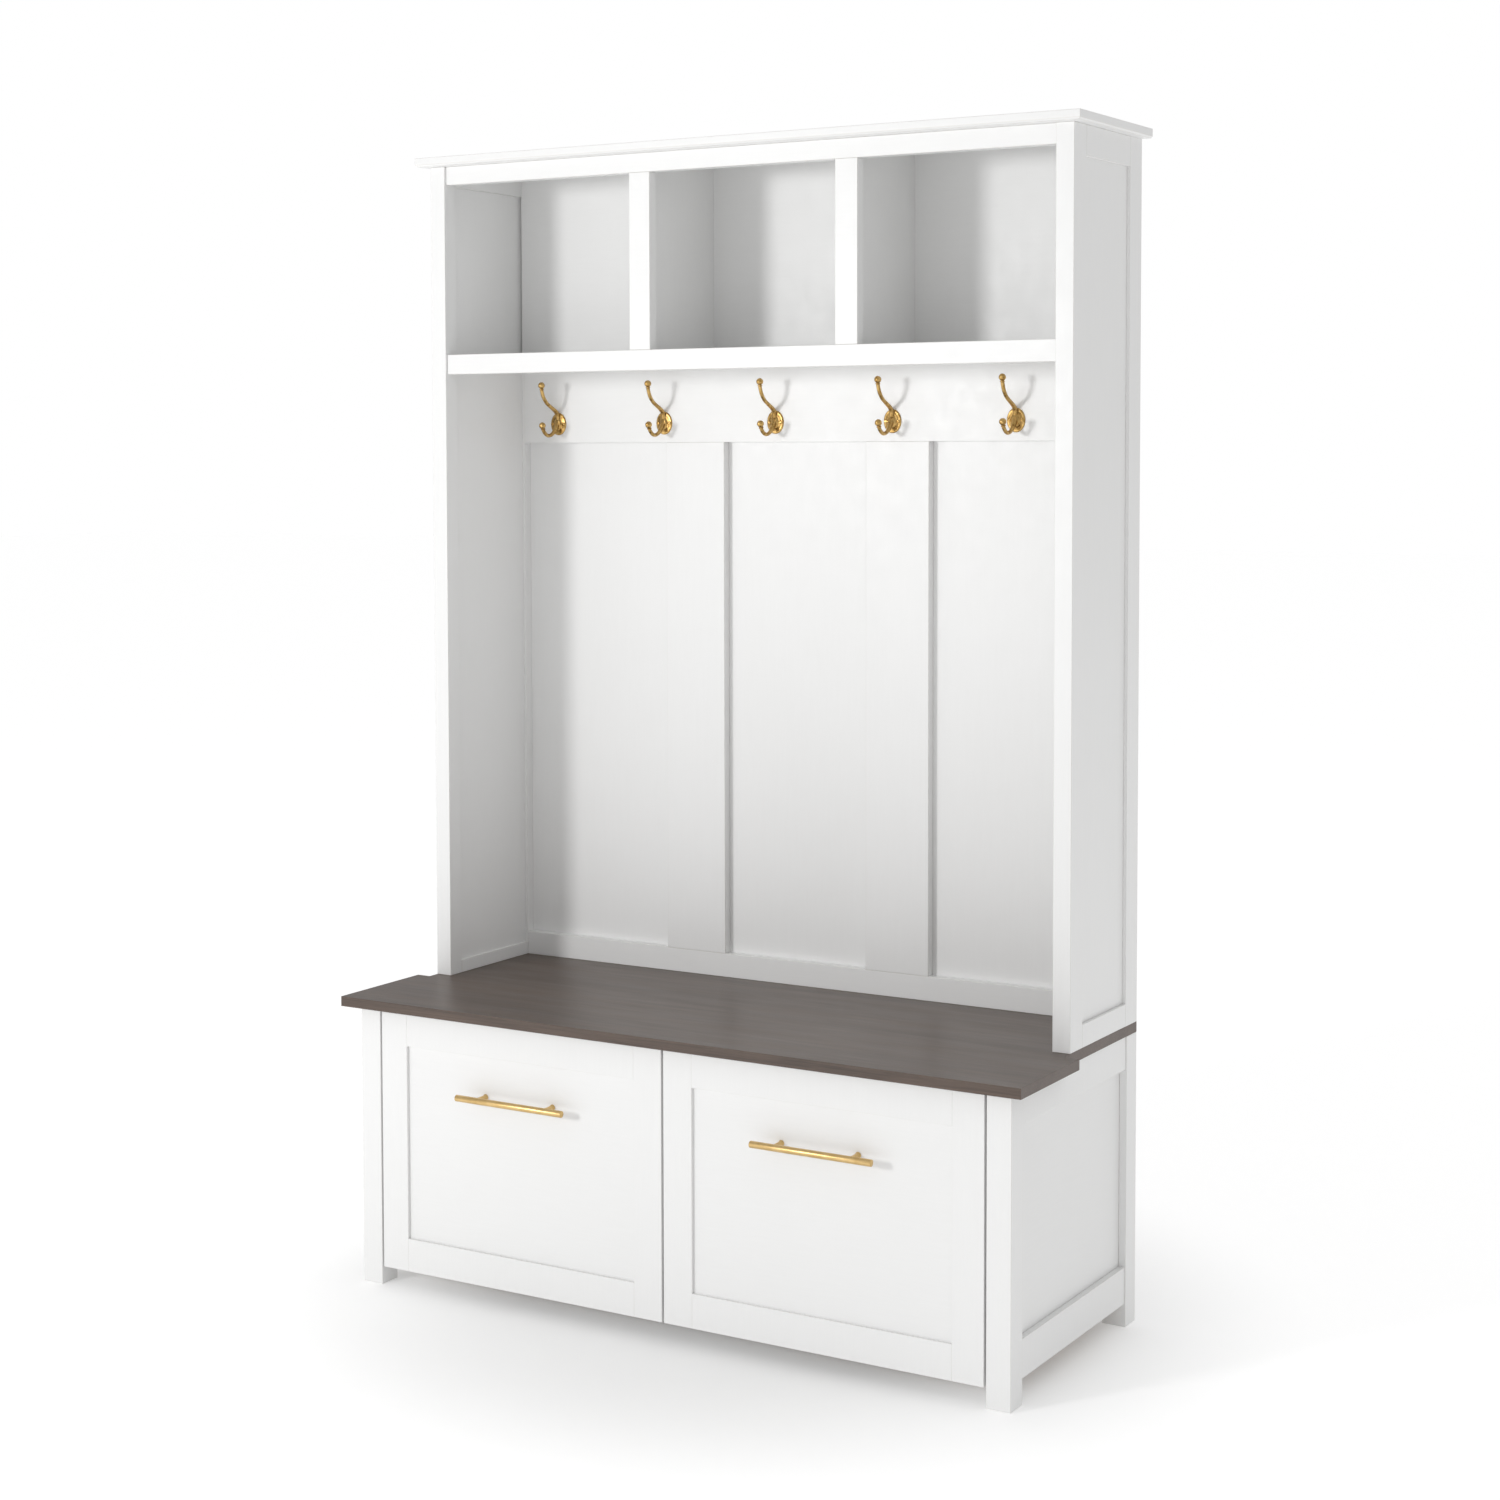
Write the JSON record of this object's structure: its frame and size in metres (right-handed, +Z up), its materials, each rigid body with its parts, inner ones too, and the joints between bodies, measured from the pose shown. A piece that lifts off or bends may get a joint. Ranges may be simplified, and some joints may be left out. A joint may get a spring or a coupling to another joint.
{
  "type": "hall tree",
  "caption": "Free-standing hall tree: pull-out storage base under a dark bench seat, shallow hutch with double coat hooks, shelf with open cubbies, and a crown.",
  "frame": {"origin": "on the floor, at the centre of the overall footprint", "axes": "+Z up, +X to the right of someone facing it, -Y towards them"},
  "size_m": [1.203, 0.4812, 1.83],
  "materials": {
    "white_paint": "satin white paint on wood board",
    "walnut_top": "dark walnut stain, satin lacquer",
    "aged_brass": "antique, dark in the recesses",
    "satin_brass": "brushed satin",
    "zinc_steel": "zinc plated",
    "birch": "clear lacquered birch ply"
  },
  "bodies": {
    "case": {"leg_front_left": "white_paint", "leg_front_right": "white_paint", "leg_rear_left": "white_paint", "leg_rear_right": "white_paint", "base_side_panel_left": "white_paint", "base_side_panel_right": "white_paint", "base_side_rails_left": "white_paint", "base_side_rails_right": "white_paint", "base_back_panel": "white_paint", "base_centre_board": "white_paint", "base_front_stretchers": "white_paint", "base_rear_stretchers": "white_paint", "bench_top": "walnut_top", "left_runner_cabinet_members": "zinc_steel", "right_runner_cabinet_members": "zinc_steel", "hutch_front_post_left": "white_paint", "hutch_front_post_right": "white_paint", "hutch_rear_post_left": "white_paint", "hutch_rear_post_right": "white_paint", "hutch_side_panel_left": "white_paint", "hutch_side_panel_right": "white_paint", "hutch_side_rails_left": "white_paint", "hutch_side_rails_right": "white_paint", "hutch_back_panel": "white_paint", "hook_rail": "white_paint", "back_batten_left": "white_paint", "back_batten_right": "white_paint", "back_low_rail": "white_paint", "cubby_back_board": "white_paint", "shelf_board": "white_paint", "shelf_front_rail": "white_paint", "top_front_rail": "white_paint", "divider_board_left": "white_paint", "divider_board_right": "white_paint", "divider_stiles": "white_paint", "crown": "white_paint", "hook_1": "aged_brass", "hook_2": "aged_brass", "hook_3": "aged_brass", "hook_4": "aged_brass", "hook_5": "aged_brass", "hook_screws": "aged_brass", "hutch_dowels": "birch"},
    "left_drawer": {"left_drawer_front_frame": "white_paint", "left_drawer_front_field": "white_paint", "left_drawer_sides": "birch", "left_drawer_back": "birch", "left_drawer_bottom": "birch", "left_handle": "satin_brass", "left_handle_screws": "zinc_steel", "left_runner_drawer_members": "zinc_steel"},
    "left_middle_members": {"left_runner_middle_members": "zinc_steel"},
    "right_drawer": {"right_drawer_front_frame": "white_paint", "right_drawer_front_field": "white_paint", "right_drawer_sides": "birch", "right_drawer_back": "birch", "right_drawer_bottom": "birch", "right_handle": "satin_brass", "right_handle_screws": "zinc_steel", "right_runner_drawer_members": "zinc_steel"},
    "right_middle_members": {"right_runner_middle_members": "zinc_steel"}
  },
  "joints": [
    {"name": "left_drawer_slide", "type": "slide", "parent": "case", "child": "left_drawer", "axis": [0, -1, 0], "range_m": [0, 0.35]},
    {"name": "left_runner_slide", "type": "slide", "parent": "case", "child": "left_middle_members", "axis": [0, -1, 0], "range_m": [0, 0.175]},
    {"name": "right_drawer_slide", "type": "slide", "parent": "case", "child": "right_drawer", "axis": [0, -1, 0], "range_m": [0, 0.35]},
    {"name": "right_runner_slide", "type": "slide", "parent": "case", "child": "right_middle_members", "axis": [0, -1, 0], "range_m": [0, 0.175]}
  ],
  "couplings": [
    {"joint": "left_runner_slide", "follows": "left_drawer_slide", "ratio": 0.5},
    {"joint": "right_runner_slide", "follows": "right_drawer_slide", "ratio": 0.5}
  ]
}
